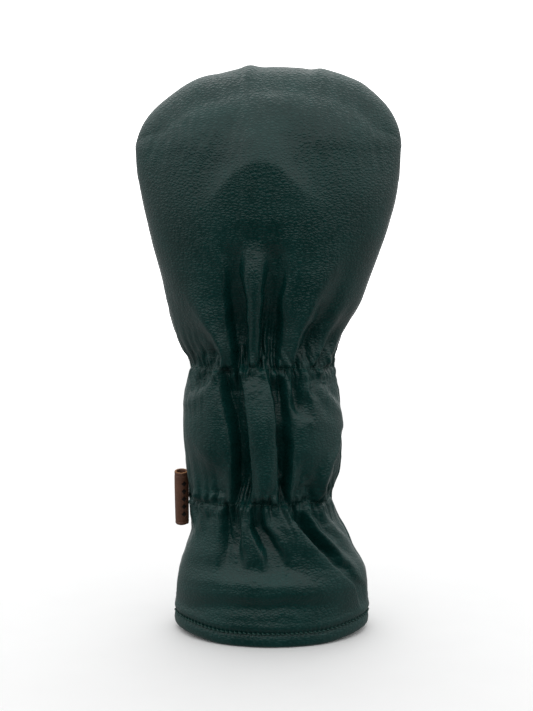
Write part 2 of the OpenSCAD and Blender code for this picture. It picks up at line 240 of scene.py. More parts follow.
# The folds are drawn as sections, on a plane just behind the back. Each is a height z and a
# row of (x, how far the leather stands out there). One fold keeps its place in every row.
HEAD_SECTIONS = [
    (168, [(-60, 0), (-38, -1.8), (-30, -1.4), (-26, 1.2), (-22, 0.2), (-20.2, -4.5), (-14, -4.8),
      (-11.6, 0.2), (-7.4, 0.2), (-5.8, -3.9), (-2.4, -1.4), (0.4, -3.9), (2.6, -2.2), (4.6, -4.1),
      (7.4, -0.2), (12.5, 1.2), (17.2, -3.4), (24.5, 0.8), (28.5, -2.6), (32, 0.8), (35.5, -2.2), (60, 0)]),
    (177, [(-60, 0), (-39, -5.2), (-32.8, -5.4), (-26.3, 2), (-22.6, -0.6), (-20.4, -10.5), (-14.2, -10.5),
      (-12, -0.2), (-6.8, -0.2), (-5, -9.6), (-2, -5.6), (0.8, -10), (3, -7.8), (5, -10.4), (7.4, -1.4),
      (13.4, 2.2), (20, -7.6), (28.6, 0.8), (31, -3.6), (35.5, 1.2), (38.8, -3.2), (60, 0)]),
    (188, [(-61, 0), (-45, -2.6), (-38, -2.2), (-30.5, 2.3), (-24.8, -1.3), (-21.9, -12.2), (-14.3, -12.5),
      (-12.2, -0.4), (-6.2, -0.4), (-4.4, -11.6), (-1.6, -9.6), (1.2, -12), (3.4, -10.8), (5.4, -11.6),
      (7.8, -2), (16, 2.4), (25.4, -7), (34, 0.4), (37.5, -2.4), (41.5, 0.6), (45, -1.4), (61, 0)]),
    (200, [(-64, 0), (-52, -0.8), (-45, 0.4), (-37.5, 2.2), (-26.6, -1.6), (-23.6, -11.3), (-14.5, -12.4),
      (-12.4, -0.8), (-5.6, -0.8), (-3.8, -11.4), (-1.4, -10.8), (1.4, -11.6), (3.8, -11), (6, -10.6),
      (8.8, -2.6), (21, 2.2), (32, -3.8), (40, 0.2), (43.5, -0.8), (48, 0), (52, -0.4), (64, 0)]),
    (213, [(-68, 0), (-58, 0), (-52, 0.8), (-44, 1.6), (-28, -2), (-24, -9.2), (-15.4, -10.6), (-12.4, -1),
      (-4.8, -1), (-3, -9.6), (-0.8, -9.4), (1.8, -10), (4.6, -9.2), (7.2, -8.2), (10, -2.8), (27, 1.8),
      (38, -1.6), (46, 0), (50, 0), (55, 0), (59, 0), (68, 0)]),
    (226, [(-72, 0), (-62, 0), (-57, 0.4), (-50, 0.8), (-27.6, -2), (-24, -6.7), (-17.6, -8.3),
      (-12.8, -1.2), (-4.8, -1.2), (-0.4, -7.4), (1.6, -7.8), (3.6, -8), (6.2, -6.8), (8.8, -5.6),
      (12, -2.4), (33, 1.4), (43, -0.4), (50, 0), (54, 0), (58, 0), (62, 0), (72, 0)]),
    (235, [(-75, 0), (-66, 0), (-60, 0), (-54, 0.2), (-29, -1.1), (-24.5, -4.4), (-18.6, -6),
      (-12.6, -1.7), (-5.8, -1.7), (-0.2, -5.6), (2.2, -6.5), (4.8, -6.2), (7.6, -4.6), (10.8, -2.6),
      (15, -1.1), (38, 0.6), (45, 0), (51, 0), (56, 0), (61, 0), (65, 0), (75, 0)]),
    (246, [(-77, 0), (-67, 0), (-61, 0), (-56, 0), (-33, -0.4), (-26, -1.5), (-18, -2.3), (-11.8, -2.1),
      (-6.2, -2.1), (-1.6, -2.3), (1, -2.5), (4, -2.4), (7.6, -1.7), (11.6, -1), (17, -0.4), (42, 0),
      (48, 0), (53, 0), (57, 0), (62, 0), (66, 0), (77, 0)]),
    (258, [(-80, 0), (-68, 0), (-62, 0), (-57, 0), (-34, -0.2), (-27, -0.4), (-19, -0.8), (-13, -0.2),
      (-5, -0.2), (-1.4, -0.5), (1.2, -0.4), (4.4, -0.5), (8, -0.4), (12, -0.5), (18, -0.2), (44, 0),
      (49, 0), (53, 0), (58, 0), (63, 0), (67, 0), (80, 0)]),
]
NECK_SECTIONS = [
    (85, [(-60, 0), (-47, -2), (-38.5, 1.2), (-36, 0.6), (-33, -1.4), (-28, -2.2), (-23, 0.9),
      (-20.4, -4.9), (-12.6, -4.2), (-9.6, 0.6), (-1.5, -2.9), (4.4, 0.6), (8, -4.8), (10.4, -4),
      (13.2, 1), (18.5, -2), (24, -3), (28, 1.2), (29.6, 1.2), (33, -2), (60, 0)]),
    (93, [(-60, 0), (-49, -3), (-41.4, 2.4), (-37.6, 1.4), (-33.5, -1), (-29, -2.4), (-23.2, 0.7),
      (-20.8, -12.5), (-12.2, -10.4), (-10.2, 0.6), (-1.5, 2.7), (5.2, 0.8), (7.4, -12.4), (10, -11.3),
      (12.6, 1), (19, -1.4), (25, -3.2), (30, 2.2), (32.4, 2.2), (36.6, -4.6), (60, 0)]),
    (105, [(-60, 0), (-52, -2), (-45.6, 2.2), (-41, 1.6), (-36, 0.4), (-30.5, -1.4), (-23.4, 0.5),
      (-20.9, -14.5), (-12.2, -11.4), (-10.1, 0.8), (-2.5, 3.5), (5, 1), (7.1, -13.6), (11.4, -12.2),
      (14.6, 1), (19.5, -0.8), (26, 0.6), (32.4, 2.4), (35.2, 2.6), (39.6, -4.4), (60, 0)]),
    (120, [(-60, 0), (-53, 0), (-49, 1.2), (-43, 2), (-37, 2.6), (-30, 1.6), (-23.4, -0.5), (-20.8, -14.5),
      (-12.6, -11.6), (-10.5, 0.7), (-2.5, 3.2), (4.8, 1.1), (7, -12.6), (12.2, -11), (16.2, -0.6),
      (21.5, 1.8), (28, 2.6), (34.4, 2.8), (38.6, 2.8), (43.6, -2.8), (60, 0)]),
    (136, [(-60, 0), (-53, 0.4), (-49, 1.2), (-43, 2.2), (-37, 2.4), (-31.5, 1.6), (-26.2, -0.7),
      (-23.2, -13.9), (-14.8, -11.6), (-12.6, 0.5), (-5, 2.8), (3.6, 1.1), (6, -9.4), (10.4, -8.5),
      (15.4, -1.6), (21, 1), (29, 2.4), (37, 2), (42.4, 1.8), (47, 0), (60, 0)]),
    (148, [(-60, 0), (-51, 0.4), (-47, 1), (-42, 1.4), (-37, 2), (-32, 1.6), (-28.4, -0.2), (-25.8, -12.9),
      (-16.6, -11.8), (-14.4, 0.1), (-8, 2), (2, 1.1), (4.6, -10), (9.4, -9.9), (13.2, -2), (18.4, -6.8),
      (27, 1.4), (32.5, 0.2), (39.5, 0.4), (44.5, -0.8), (60, 0)]),
    (158, [(-60, 0), (-49, -0.4), (-44.5, 0.4), (-40.5, -0.2), (-36, 1.4), (-33, 1), (-29.6, 0.9),
      (-27, -11.1), (-18.2, -11.4), (-15.4, 0), (-9, 1.3), (0.6, 0.9), (3, -10), (8.2, -9.9), (12.6, -0.4),
      (18.2, -7.2), (23, 1.8), (27, -2.4), (33.5, 0.8), (40, -1.6), (60, 0)]),
    (166, [(-60, 0), (-48, -0.6), (-44, 0.4), (-39, -3), (-35, -0.8), (-32.6, 0.2), (-29.6, 1.1),
      (-27, -4.9), (-18, -5), (-15.6, 0.6), (-10, -0.8), (-1.6, 1), (1.8, -4.2), (8, -4), (11.6, -1),
      (17.4, -4), (21.8, 0.2), (26.6, -2), (30.5, 0.6), (35, -1.8), (60, 0)]),
]
SKIRT_SECTIONS = [
    (20, [(-66, 0), (-56, 0), (-50, 0), (-42, 0), (-32, 0), (-26, 0), (-19, 0), (-12, 0), (0, 0), (6, 0),
      (12, 0), (20, 0), (34, 0), (56, 0), (58, 0), (60, 0), (61, 0), (62, 0), (63, 0), (64, 0), (70, 0)]),
    (36, [(-66, 0), (-56, 0), (-50, 0.4), (-42, 0.6), (-32, 0.4), (-26, 0), (-19, 0), (-12, 0), (0, 0),
      (6, 0), (12, 0.2), (20, 0.6), (34, 1), (51.5, 2), (54.4, -2), (57, -1.2), (59, 0), (60, 0), (62, 0),
      (64, 0), (70, 0)]),
    (45, [(-66, 0), (-56, 0.4), (-49, 1.2), (-42, 1.2), (-32, 0.6), (-27, -1.2), (-19.6, -1.8),
      (-12.6, -0.8), (-4, -1), (3, -2.4), (10, -2.4), (17, -0.8), (26, 1), (42.2, 2.9), (45.4, -3.8),
      (49.5, -2.6), (53, 0.6), (57, 0), (60, 0), (62, 0), (70, 0)]),
    (54, [(-64, 0), (-54, 0.4), (-47, 1.8), (-40, 1.6), (-31, 0.8), (-26.6, -4), (-19.4, -4.6),
      (-12.6, -0.6), (-5.4, -0.2), (0, -5), (7, -5.2), (12.6, -2), (20.5, 0), (33.6, 3.6), (36.6, -6.2),
      (40, -5.4), (45.5, 1.6), (50.5, 0), (54, 0), (58, -0.2), (68, 0)]),
    (63, [(-62, 0), (-51, 0.2), (-44.5, 1.8), (-37.4, 1.4), (-30, 0.8), (-26.4, -5.6), (-19.6, -6),
      (-15, 0.8), (-8.4, 0.8), (-4, -7), (1.8, -7), (6.6, -0.8), (13, 0.4), (25.4, 3.8), (28.2, -8.6),
      (31.6, -8.4), (36.8, 2.4), (42, -0.8), (47, 0.2), (52, -0.4), (66, 0)]),
    (73, [(-60, 0), (-47, -0.8), (-41, 1.8), (-35, 0.8), (-29.4, 1.2), (-26.2, -6), (-19.2, -6),
      (-15.8, 1.6), (-11.4, 1), (-8.8, -8), (-4.4, -7.4), (-0.8, 1.8), (4.5, 0), (17, 3.2), (19.8, -9),
      (23.8, -8.8), (28.4, 2.2), (33.5, -2.4), (38.6, 1), (43, -1), (64, 0)]),
    (83, [(-60, 0), (-43, -1.4), (-37.8, 1), (-33, -1), (-28.5, 1), (-26, -3.6), (-18.6, -3.6), (-15.5, 1),
      (-12.5, 0.8), (-10, -3.6), (-3.8, -3.2), (-1.4, 1), (3, -2), (10.6, 1.2), (14, -4), (19.5, -3.6),
      (22.5, 1), (27.4, -2.4), (33, 0.8), (37, -1.2), (62, 0)]),
]
# Patches of fine wrinkles: middle x and z, half width, half height, size
WRINKLED = [
    (3, 39, 34, 6, 0.3), (-5, 16, 40, 3.5, 0.15), (-9, 154, 6, 10, 0.35), (20, 137, 8, 6, 0.4),
    (-9, 236, 7, 9, 0.25), (-31, 94, 5, 9, 0.35), (22, 96, 6, 10, 0.4), (33, 160, 9, 8, 0.3),
    (-22, 66, 7, 12, 0.35),
]
# Soft level folds above the hem, as strokes of (x, z, height, half width below, half width above)
LEVEL_FOLDS = [
    [(-64, 37, 0.3, 5, 6), (-40, 33.5, 1.4, 4.5, 7), (-14, 31, 1.4, 4, 8), (14, 31, 1.2, 4, 8),
     (40, 35, 0.9, 5, 7), (60, 38, 0.1, 5, 7)],
    [(-60, 25, -0.3, 5), (-40, 23.5, -1.1, 4), (-10, 22, -1.5, 4), (20, 22.5, -1.1, 4),
     (44, 24, -0.2, 4)],
    [(-46, 52, -0.4, 5, 5), (-30, 48, -0.9, 5, 6), (-4, 45, -1.5, 4.5, 6), (18, 46, -1.3, 4.5, 6),
     (34, 43, -0.3, 5, 6)],
    [(-58, 43, 0.1, 4, 5), (-44, 40.5, 0.8, 3.5, 4.5), (-22, 38.5, 0.9, 3, 4), (0, 36, 0.5, 3, 4),
     (22, 35, 0.2, 3, 4)],
]
# Rounded backs along the long ridges, and small ridges and valleys beside the gathers, as strokes of
# (x, z, height, half width on the left, on the right)
RIDGE_BACKS = [
    [(-9.4, 168, 0.8, 2.4), (-9.4, 177, 1.8, 2.6), (-9, 200, 2.3, 3.2), (-8.8, 211, 2.8, 4),
     (-8.8, 220, 3.2, 5), (-9.1, 230.5, 2.6, 6.4), (-9.5, 241.5, 0, 7)],
    [(-26.5, 170, 0.9, 2.2), (-30, 186, 1.8, 2.9), (-37, 200, 1.7, 3.8), (-42, 211, 1.0, 5),
     (-47, 222, 0.2, 6)],
    [(13.4, 170, 0.8, 2.4), (16, 188, 1.6, 3), (21, 200, 1.8, 3.6), (27, 213, 1.5, 4.5),
     (32, 226, 0.9, 5.5), (37, 239, 0.2, 6)],
    [(20, 168, 0.4, 2.2), (26, 160, 1.2, 2.4), (33, 152.5, 1.3, 3), (40, 146.5, 0.7, 3.4),
     (46, 142, 0.2, 3.5)],
    [(28, 167, -0.4, 2.4), (34, 160.5, -1.4, 2.6), (40, 154.5, -1.2, 2.8), (45, 151, -0.2, 3)],
    [(-29.6, 167.5, 0.4, 2.2), (-34, 160, 0.9, 2.6), (-40, 153.5, 0.9, 3), (-47, 149, 0.6, 3.4),
     (-51, 147, 0.1, 3.5)],
    [(-35, 167, -0.4, 2.2), (-40, 161, -1.3, 2.6), (-46, 156.5, -0.9, 2.6), (-49, 155, -0.1, 3)],
    [(43, 134, 0.3, 3, 2.4), (40, 124, 1.1, 3, 2.2), (36.5, 115, 2.1, 2.8, 2), (32.6, 105, 2.8, 2.6, 2),
     (31, 97, 2.8, 2.4, 2), (30.4, 90, 1.2, 2.2, 2)],
    [(-27.5, 88, 0.3, 3), (-27, 96, 0.6, 3), (-30, 108, 0.9, 3.5), (-38, 122, 1.0, 5),
     (-46, 132, 0.4, 5)],
]


def lofted(x, z, sections):
    """Heights over the places x, z from a list of sections: a smooth line through each one's points
    with no crest or trough between them, and an even change from one section to the next."""
    zs = np.array([s[0] for s in sections], float)
    table = np.array([s[1] for s in sections], float)
    at = np.interp(z, zs, np.arange(len(zs)))
    i = np.clip(np.floor(at).astype(int), 0, len(zs) - 2)
    f = ease(at - i) * 0.4 + (at - i) * 0.6
    count = table.shape[1]
    px = [table[i, k, 0] * (1 - f) + table[i + 1, k, 0] * f for k in range(count)]
    ph = [table[i, k, 1] * (1 - f) + table[i + 1, k, 1] * f for k in range(count)]
    rise = [(ph[k + 1] - ph[k]) / (px[k + 1] - px[k]) for k in range(count - 1)]
    flat = np.zeros_like(x)
    slope = [flat]
    for a, b in zip(rise[:-1], rise[1:]):
        both = a * b
        slope.append(np.where(both > 1e-9, 2 * both / np.where(np.abs(a + b) > 1e-9, a + b, 1), 0))
    slope.append(flat)
    out = np.zeros_like(x)
    for k in range(count - 1):
        wide = px[k + 1] - px[k]
        t = (x - px[k]) / wide
        curve = ((2 * t**3 - 3 * t**2 + 1) * ph[k] + (t**3 - 2 * t**2 + t) * slope[k] * wide
                 + (3 * t**2 - 2 * t**3) * ph[k + 1] + (t**3 - t**2) * slope[k + 1] * wide)
        out = np.where((t >= 0) & (t < 1), curve, out)
    return out


CAMERA_AT = np.array([-1.2, -900.0, 290.0])
CAMERA_DOWN = 7.42  # degrees below level
FOLD_PLANE_Y = -38.0


def on_fold_plane(p):
    """Where the line of sight to each point crosses the plane that the folds are drawn on."""
    t = (FOLD_PLANE_Y - CAMERA_AT[1]) / (p[..., 1] - CAMERA_AT[1])
    return CAMERA_AT[0] + (p[..., 0] - CAMERA_AT[0]) * t, CAMERA_AT[2] + (p[..., 2] - CAMERA_AT[2]) * t


def bell(distance, half_width, power=2):
    """1 in the middle, falling off on both sides, to 1/e at the half width."""
    return np.exp(-(np.abs(distance / half_width) ** power))


# The pleats along a gather come in three sizes: pitch, height, and how far they reach from it
PLEATS = ((3.0, 1.7, 4.4), (5.2, 2.5, 7.5), (9.4, 2.3, 11.0))
SWELLING_PLEATS = 1  # the middle size swells where it leaves the stitches


def puckers(s, dz, seed):
    """Small pleats along a gather. s is the distance along it and dz the height above it."""
    def two_sided(place, above, below):
        return np.where(dz > 0, noise1(place, above), noise1(place, below))

    total = np.zeros_like(s)
    far = np.abs(dz)
    for k, (pitch, height, reach) in enumerate(PLEATS):
        fan = two_sided(s / (pitch * 3), seed + 7 * k, seed + 7 * k + 3) * 0.35
        bend = noise1(s / (pitch * 1.7), seed + 5 * k + 1) * pitch * 0.45
        wave = np.abs(np.sin(np.pi * (s + bend + fan * dz) / pitch))
        size = 0.65 + 0.5 * two_sided(s / (pitch * 2.2), seed + 11 * k, seed + 11 * k + 2)
        held = bell(far, reach * (0.8 + 0.5 * size), 1.2) * (1 - 0.45 * bell(far, 1.8))
        total += height * size * (wave - 0.62) * held
        if k == SWELLING_PLEATS:
            away = 3.8 + 1.6 * noise1(s / 6, seed + 23) + 0.8 * np.sign(dz)
            swell = np.clip(0.55 + 0.9 * noise1(s / 8.5 + (dz > 0) * 41, seed + 29), 0, 1.5)
            total += 1.25 * swell * ease((wave - 0.2) / 0.7) * bell(far - away, 2.8)
    return total


def head_swell(x, z):
    """The stuffing's swell over the head, and the hollow with its brow in the middle of it."""
    steps = np.linspace(-1, 1, 15)
    swell = evened(z, HEAD_PROFILE, 7 * steps)
    brow = evened(x, BROW_LINE, 3.5 * steps)
    over = z - brow - 1.2 * noise2(x / 9, x / 7, 35)
    over = 0.5 * (over + np.sqrt(over**2 + 1.6))  # never below 0, without a corner at 0
    hollow = HOLLOW_OUT - BROW_DROP * np.sin(np.pi / 2 * np.clip(over / BROW_REACH, 0, 1))
    middle = bell(x - HOLLOW_X, HOLLOW_HALF_W, 3.5) * ease((z - 190) / 45)
    return swell * (1 - middle) + hollow * middle


def back_relief(p, row, from_seam, s):
    """How far the back panel's outer surface stands out from the plain form."""
    x, z = on_fold_plane(p)
    d = np.zeros(x.shape)
    skirt = np.minimum(row, HEAD_Z)
    # folds die out towards the seams, where the two panels hold each other
    edge = ease(from_seam / 11)
    # the gathers waver up and down a little from stitch to stitch
    waver = 1.3 * noise1(s / 8, 51, 2)
    above, below = ease((skirt - UPPER_Z + 3) / 6), ease((skirt - LOWER_Z + 3) / 6)
    # the folds' own outlines waver too, as leather's do
    wx = x + 0.7 * noise2(x / 9, z / 14, 31) + 0.3 * noise2(x / 3.5, z / 6, 32)
    wz = z + 0.8 * noise2(x / 12, z / 12, 33)
    zones = (HEAD_SECTIONS, above), (NECK_SECTIONS, (1 - above) * below), (SKIRT_SECTIONS, 1 - below)
    for folds, weight in zones:
        d += weight * lofted(wx, wz, folds)
    for points in LEVEL_FOLDS:
        d += (1 - below) * stroke(x, z + 0.9 * noise1(x / 11, 44), points)
    for points in RIDGE_BACKS:
        d += stroke(wx, z, points)
    d *= 0.35 + 0.65 * edge
    d += above * head_swell(x, z) * ease(from_seam / 34)
    deep = ease(-d / 4)
    for level, seed in ((UPPER_Z, 3), (LOWER_Z, 40)):
        dz = skirt - level - waver * edge
        d += puckers(s, dz, seed) * (0.55 + 0.45 * edge) * (1 + 0.3 * deep)
        # the stitches pull a groove, and the leather rolls out on both sides of it
        d -= bell(dz, 1.3) * (0.75 + 0.7 * noise1(s / 4, seed + 6))
        d += 0.5 * bell(np.abs(dz) - 4.8, 2.8) * (0.7 + 0.6 * noise1(s / 7, seed + 2))
    # slow unevenness of stuffed leather, and fine creases near the gathers and down in the folds
    d += 0.35 * noise2(x / 34, z / 30, 5) * ease((skirt - 20) / 30)
    gathered = bell(skirt - UPPER_Z, 22, 1) + bell(skirt - LOWER_Z, 26, 1)
    d += 0.25 * gathered * noise2(x / 5.2, z / 9.0, 9, 3)
    d += 0.3 * deep * noise2(x / 3.0, z / 9.0, 10, 2)
    for cx, cz, rx, rz, size in WRINKLED:
        patch = bell(x - cx, rx, 4) * bell(z - cz - 0.003 * (x - cx) ** 2, rz)
        d += size * patch * (1 - 2 * np.abs(noise2(x / 4.6, z / 2.2, 12, 2)))
    return d


def front_relief(p, row, from_seam, s):
    """The front is not gathered: its leather only buckles a little over the two waists."""
    skirt = np.minimum(row, HEAD_Z)
    d = 0.4 * noise2(p[..., 0] / 36, p[..., 2] / 34, 21) * ease((skirt - 20) / 30)
    for level, seed in ((UPPER_Z, 60), (LOWER_Z, 80)):
        dz = skirt - level
        d += 1.1 * bell(dz, 16, 1) * noise1((s + noise1(s / 30, seed) * 0.4 * dz) / 13, seed + 1)
        d += 0.5 * bell(dz, 7, 1) * noise1((s + noise1(s / 16, seed + 4) * 0.3 * dz) / 5, seed + 5)
    return d


# ---- one panel as a grid
class Panel:
    """A panel's grid of rows and columns, with its relief, for every layer to be laid on. fine is the
    number of rows to a millimetre at the gathers; the plainer levels have fewer."""

    def __init__(self, side, columns, fine):
        self.side = side
        gathers = lambda z: bell(z - UPPER_Z, 16, 4) + bell(z - LOWER_Z, 18, 4)
        density = lambda z: fine * (0.55 + 0.75 * gathers(z) + 1.0 * (z < 14) + 0.25 * (z < 60))
        skirt = spread(0, HEAD_Z, density)
        dome = HEAD_Z + 90 * (1 - (1 - np.linspace(0, 1, int(60 * fine) + 1)[1:]) ** 1.25)
        self.rows = np.concatenate([skirt, dome])
        self.head_row = len(skirt) - 1
        c = np.linspace(-1, 1, columns)
        self.angles = 90 * (1 + np.sign(c) * (1 - (1 - np.abs(c)) ** 1.18))
        row, angle = np.meshgrid(self.rows, self.angles, indexing="ij")
        self.row = row
        self.base = base(side, row, angle, SEAM_GAP)
        self.normal = normals(self.base, side)
        for column, sign in ((0, 1), (-1, -1)):
            self.normal[:, column] = [sign, 0, 0]
        top = self.normal[-1]
        top[:, 1] = 0
        top /= np.maximum(np.linalg.norm(top, axis=1, keepdims=True), 1e-9)
        steps = np.linalg.norm(np.diff(self.base, axis=1), axis=-1)
        self.s = np.concatenate([np.zeros((len(self.rows), 1)), np.cumsum(steps, axis=1)], axis=1)
        width = self.s[:, -1:]
        up = np.linalg.norm(np.diff(self.base, axis=0), axis=-1)
        height = np.concatenate([np.zeros((1, columns)), np.cumsum(up, axis=0)], axis=0)
        self.from_seam = np.minimum(np.minimum(self.s, width - self.s), height[-1:] - height)
        centred = self.s - width / 2
        relief = back_relief if side == BACK else front_relief
        self.relief = relief(self.base, row, self.from_seam, centred + 200)  # s stays above 0
        self.relief = self.hem(self.relief) - self.seam_dip()

    def hem(self, d):
        """Presses the stitch line into the hem and rounds the bead below it."""
        z = self.row
        calm = ease((z - 10) / 9)
        d = d * calm
        d += 0.7 * bell(z - 3.8, 3.2) * (1 + 0.35 * noise1(self.s / 13, 90 + self.side))
        d += 0.8 * bell(z - 12.4, 2.6) * (1 + 0.4 * noise1(self.s / 17, 93 + self.side))
        holes = (0.5 + 0.5 * np.cos(2 * np.pi * (self.s / STITCH_PITCH + 0.25))) ** 3
        return d - (0.35 + 0.9 * holes) * bell(z - HEM_STITCH_Z, 1.1 + 0.5 * holes)

    def seam_dip(self):
        """The rolled edge beside a seam, with small puckers along it."""
        q = np.clip(1 - self.from_seam / SEAM_ROLL, 0, 1)
        roll = SEAM_ROLL * (1 - np.sqrt(1 - q**2))
        along = self.rows[:, None] + self.s * 0
        pull = 0.35 * bell(self.from_seam, 3.5) * (0.5 + noise1(along / 3.1, 33))
        return roll + pull * (self.from_seam > 0)

    def at(self, offset):
        """The grid's points, each that far outside the plain form."""
        return self.base + self.normal * offset[..., None]

    def part(self, first):
        """Index of the first row at or above a level."""
        return int(np.searchsorted(self.rows, first))

    def sample(self, grid, row, angle):
        """Values of a grid at any rows and angles."""
        r = np.interp(row, self.rows, np.arange(len(self.rows)))
        c = np.interp(angle, self.angles, np.arange(len(self.angles)))
        i = np.clip(np.floor(r).astype(int), 0, len(self.rows) - 2)
        j = np.clip(np.floor(c).astype(int), 0, len(self.angles) - 2)
        f, g = (r - i)[..., None], (c - j)[..., None]
        return ((grid[i, j] * (1 - f) + grid[i + 1, j] * f) * (1 - g)
                + (grid[i, j + 1] * (1 - f) + grid[i + 1, j + 1] * f) * g)


def new_object(name, verts, faces, material):
    """A smooth object from vertices in millimetres and arrays of faces."""
    mesh = bpy.data.meshes.new(name)
    mesh.from_pydata((verts * MM).tolist(), [], [face for block in faces for face in block.tolist()])
    mesh.shade_smooth()
    mesh.validate()
    mesh.materials.append(material)
    o = bpy.data.objects.new(name, mesh)
    bpy.context.scene.collection.objects.link(o)
    return o


FLIPPED = [0, 3, 2, 1]  # a face's corners the other way round


def grid_faces(ids):
    """Faces of a grid of point numbers."""
    return np.stack([ids[:-1, :-1], ids[1:, :-1], ids[1:, 1:], ids[:-1, 1:]], -1).reshape(-1, 4)


def between(a, b):
    """Faces of the strip between two lines of point numbers."""
    return np.stack([a[:-1], b[:-1], b[1:], a[1:]], -1)


def slab(name, near, far, material):
    """The solid between two grids of points. Its faces are its two broad sides, then its four edges."""
    rows, cols = near.shape[:2]
    a = np.arange(rows * cols).reshape(rows, cols)
    b = a + rows * cols
    faces = [grid_faces(a), grid_faces(b)[:, FLIPPED], between(a[:, 0], b[:, 0]),
             between(b[:, -1], a[:, -1]), between(b[0], a[0]), between(a[-1], b[-1])]
    return new_object(name, np.concatenate([near.reshape(-1, 3), far.reshape(-1, 3)]), faces, material)


def closed_shell(name, panel, outer, inner, first, material):
    """The solid between two grids of points of a panel, from row first up to the crown's seam."""
    outer, inner = outer[first:], inner[first:]
    rows, cols = outer.shape[:2]
    ids = np.arange(rows * cols).reshape(rows, cols)
    head = panel.head_row - first
    ids[head:, 0] = ids[head, 0]  # past the widest line both sides meet in one point
    ids[head:, -1] = ids[head, -1]
    far = ids + rows * cols
    quads = np.concatenate([
        grid_faces(ids)[:, FLIPPED], grid_faces(far), between(ids[0], far[0]), between(far[-1], ids[-1]),
        between(far[:head + 1, 0], ids[:head + 1, 0]), between(ids[:head + 1, -1], far[:head + 1, -1]),
    ])
    if panel.side == BACK:
        quads = quads[:, ::-1]
    same = quads == np.roll(quads, -1, axis=1)  # corners that fell together
    whole, pinched = quads[same.sum(1) == 0], same.sum(1) == 1
    tris = quads[pinched][~same[pinched]].reshape(-1, 3)
    verts = np.concatenate([outer.reshape(-1, 3), inner.reshape(-1, 3)])
    used, new = np.unique(np.concatenate([whole.ravel(), tris.ravel()]), return_inverse=True)
    faces = [new[:whole.size].reshape(-1, 4), new[whole.size:].reshape(-1, 3)]
    return new_object(name, verts[used], faces, material)


# ---- materials
class Nodes:
    """Builds the nodes of a material or a world."""

    def __init__(self, owner):
        owner.use_nodes = True
        self.tree = owner.node_tree
        self.coordinates = self.tree.nodes.new("ShaderNodeTexCoord").outputs

    def put(self, socket, value):
        if isinstance(value, bpy.types.NodeSocket):
            self.tree.links.new(value, socket)
        else:
            socket.default_value = value

    def add(self, kind, **settings):
        """A new node. A setting with an input's name goes to that input, as a value or a link."""
        node = self.tree.nodes.new(kind)
        for key, value in settings.items():
            if key in node.inputs:
                self.put(node.inputs[key], value)
            else:
                setattr(node, key, value)
        return node

    def math(self, operation, a, b, clamp=False):
        node = self.add("ShaderNodeMath", operation=operation, use_clamp=clamp)
        self.put(node.inputs[0], a)
        self.put(node.inputs[1], b)
        return node.outputs[0]

    def weighted(self, *terms):
        """The sum of some values, each times its weight."""
        parts = [self.math("MULTIPLY", value, weight) for weight, value in terms]
        total = parts[0]
        for part in parts[1:]:
            total = self.math("ADD", total, part)
        return total

    def ranged(self, value, start, end, low, high, kind="LINEAR"):
        """Runs from low to high as a value passes from start to end."""
        node = self.add("ShaderNodeMapRange", interpolation_type=kind, Value=value)
        for key, number in zip(("From Min", "From Max", "To Min", "To Max"), (start, end, low, high)):
            node.inputs[key].default_value = number
        return node.outputs[0]


class Surface(Nodes):
    """A material's nodes, with patterns that stay on the object."""

    def __init__(self, name):
        self.material = bpy.data.materials.new(name)
        super().__init__(self.material)
        self.bsdf = self.tree.nodes["Principled BSDF"]
        self.place = self.coordinates["Object"]

    def drive(self, **inputs):
        """Values or links for the shader's inputs, with _ for each space in a name."""
        for key, value in inputs.items():
            self.put(self.bsdf.inputs[key.replace("_", " ")], value)

    def texture(self, kind, place=None, **settings):
        """The outputs of a texture node."""
        return self.add("ShaderNodeTex" + kind, Vector=place or self.place, **settings).outputs

    def ramp(self, value, stops):
        node = self.add("ShaderNodeValToRGB", Fac=value)
        for element, (place, colour) in zip(node.color_ramp.elements, stops):
            element.position = place
            element.color = (*colour, 1)
        return node.outputs["Color"]

    def bump(self, height, strength, distance):
        node = self.add("ShaderNodeBump", Strength=strength, Distance=distance, Height=height)
        return node.outputs["Normal"]


